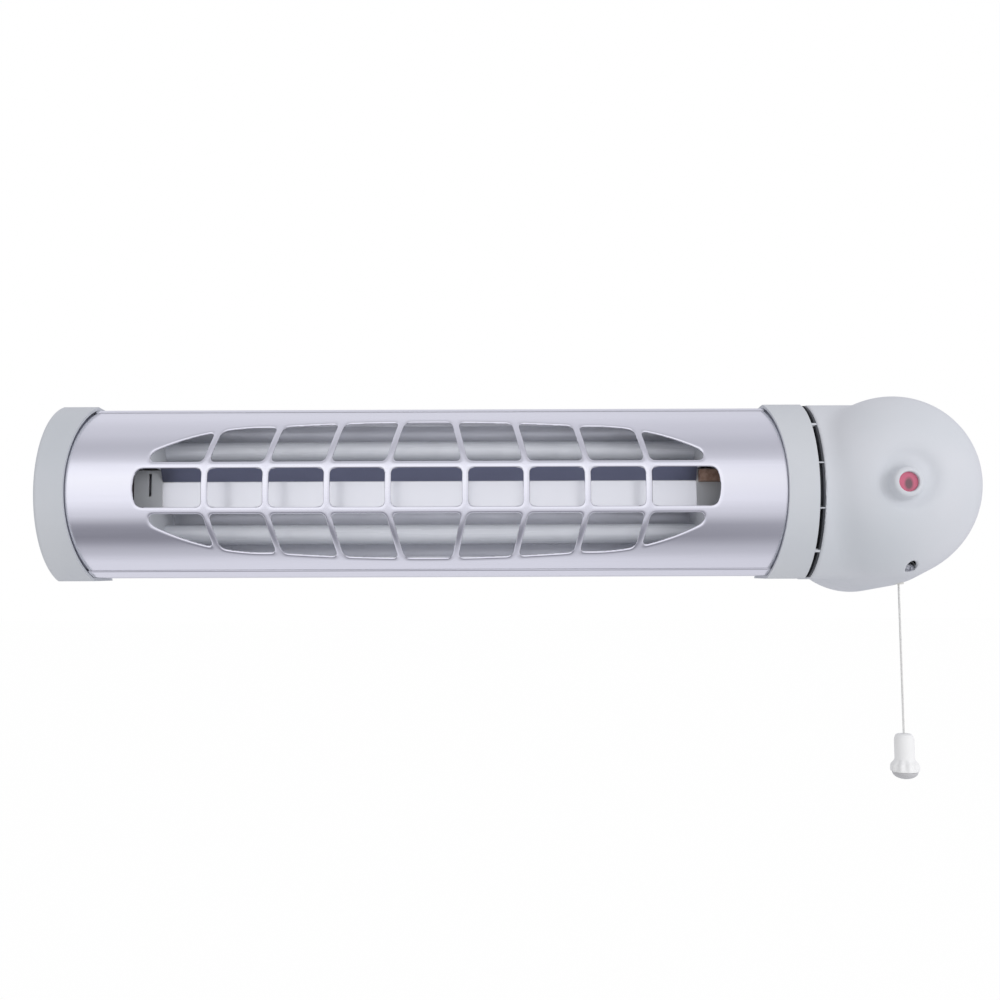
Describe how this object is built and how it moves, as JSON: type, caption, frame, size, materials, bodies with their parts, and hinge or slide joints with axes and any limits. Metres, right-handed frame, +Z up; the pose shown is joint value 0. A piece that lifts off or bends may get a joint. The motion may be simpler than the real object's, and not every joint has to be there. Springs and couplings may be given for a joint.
{
  "type": "infrared bathroom heater",
  "caption": "Wall-mounted infrared heater: a tilting lamp housing with quartz tubes behind a slotted metal grille, beside a domed control head with pilot light and pull cord.",
  "frame": {"origin": "middle of the four wall screw holes, in the plane of the wall, level with the tilt axis", "axes": "+X along the lamp towards the control head, +Y into the wall, +Z up; the front faces -Y"},
  "size_m": [0.556, 0.121, 0.2257],
  "materials": {
    "cap_plastic": "satin moulded light grey",
    "head_plastic": "satin moulded light grey",
    "sheet_aluminium": "satin brushed lengthwise",
    "reflector_aluminium": "bright polished",
    "plated_steel": "zinc plated",
    "bracket_paint": "light grey powder coat",
    "quartz": "frosted quartz",
    "element_wire": "oxidised resistance wire",
    "white_ceramic": "unglazed ceramic",
    "brown_ceramic": "unglazed ceramic",
    "dark_plastic": "matte black",
    "white_nylon": "natural nylon",
    "pilot_red": "clear red lens",
    "neon_glass": "clear glass",
    "brass": "bare brass",
    "grommet_rubber": "black rubber",
    "lead_insulation": "silicone sleeve",
    "cord_fibre": "braided white cord",
    "knob_plastic": "white moulded",
    "knob_plug": "grey moulded"
  },
  "bodies": {
    "base": {"wall_base": "head_plastic", "head_cover": "head_plastic", "cover_screw": "plated_steel", "pilot_lens": "pilot_red", "neon_lamp": "neon_glass", "lamp_holder": "white_nylon", "switch_body": "dark_plastic", "switch_terminals": "brass", "cord_bush": "white_nylon", "terminal_block": "white_nylon", "terminal_screws": "brass", "mains_grommet": "grommet_rubber", "swivel_collar": "dark_plastic", "left_bracket": "bracket_paint", "pivot_screw": "plated_steel", "head_leads": "lead_insulation", "return_spring": "plated_steel"},
    "lamp": {"front_grille": "sheet_aluminium", "rear_shell": "sheet_aluminium", "reflector": "reflector_aluminium", "left_end_cap": "cap_plastic", "right_end_cap": "cap_plastic", "spigot_clip": "plated_steel", "pivot_bush": "white_nylon", "quartz_tube_upper": "quartz", "quartz_tube_lower": "quartz", "heating_coil_upper": "element_wire", "heating_coil_lower": "element_wire", "ceramic_left_upper": "white_ceramic", "ceramic_left_lower": "white_ceramic", "ceramic_right_upper": "white_ceramic", "ceramic_right_lower": "white_ceramic", "tube_bracket_left": "plated_steel", "tube_bracket_right": "plated_steel", "end_cap_screws": "plated_steel", "lamp_leads": "lead_insulation", "link_terminal": "brown_ceramic"},
    "pull": {"pull_cord": "cord_fibre", "knob_body": "knob_plastic", "knob_cap": "knob_plug", "switch_plunger": "white_nylon"},
    "lever": {"switch_lever": "brass"}
  },
  "joints": [
    {"name": "lamp_tilt", "type": "hinge", "parent": "base", "child": "lamp", "pos_m": [-0.027, -0.05, 0], "axis": [1, 0, 0], "range_deg": [-15, 40]},
    {"name": "cord_pull", "type": "slide", "parent": "base", "child": "pull", "axis": [0, 0, -1], "range_m": [0, 0.008], "stiffness_N_per_m": 600, "springref_m": -0.005, "deforming": ["return_spring"]},
    {"name": "lever_rock", "type": "hinge", "parent": "base", "child": "lever", "pos_m": [0.232, -0.051, -0.0165], "axis": [0, 1, 0], "range_deg": [0, 25.3]}
  ],
  "couplings": [
    {"joint": "lever_rock", "follows": "cord_pull", "rad_per_m": 55}
  ]
}
